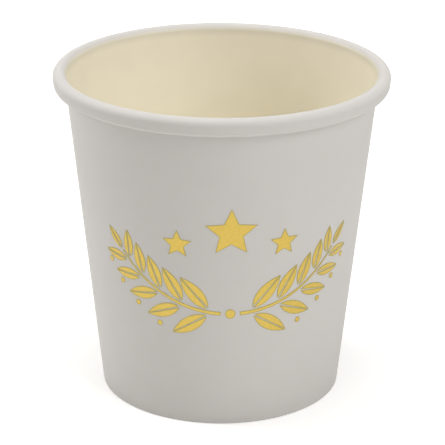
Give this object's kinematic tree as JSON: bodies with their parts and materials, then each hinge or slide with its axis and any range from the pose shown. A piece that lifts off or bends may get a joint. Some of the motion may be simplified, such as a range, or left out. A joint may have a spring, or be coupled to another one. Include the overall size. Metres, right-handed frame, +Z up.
{
  "type": "paper cup",
  "caption": "Small tapered paper cup with a rolled rim, a lapped side seam, a recessed flat floor and a gold foil ornament of leafy sprigs and stars on its front.",
  "frame": {"origin": "on the cup's own axis, at the level of the table that its foot rests on", "axes": "+Z up along the cup's axis to its open rim, -Y out of the printed front, +Y out of the lap seam at the back"},
  "size_m": [0.062, 0.062, 0.0615],
  "materials": {
    "wall_board": "matte",
    "floor_board": "matte",
    "gold_foil": "satin"
  },
  "bodies": {
    "root": {"side_wall": "wall_board", "base_disc": "floor_board", "foil_print": "gold_foil"}
  },
  "joints": []
}
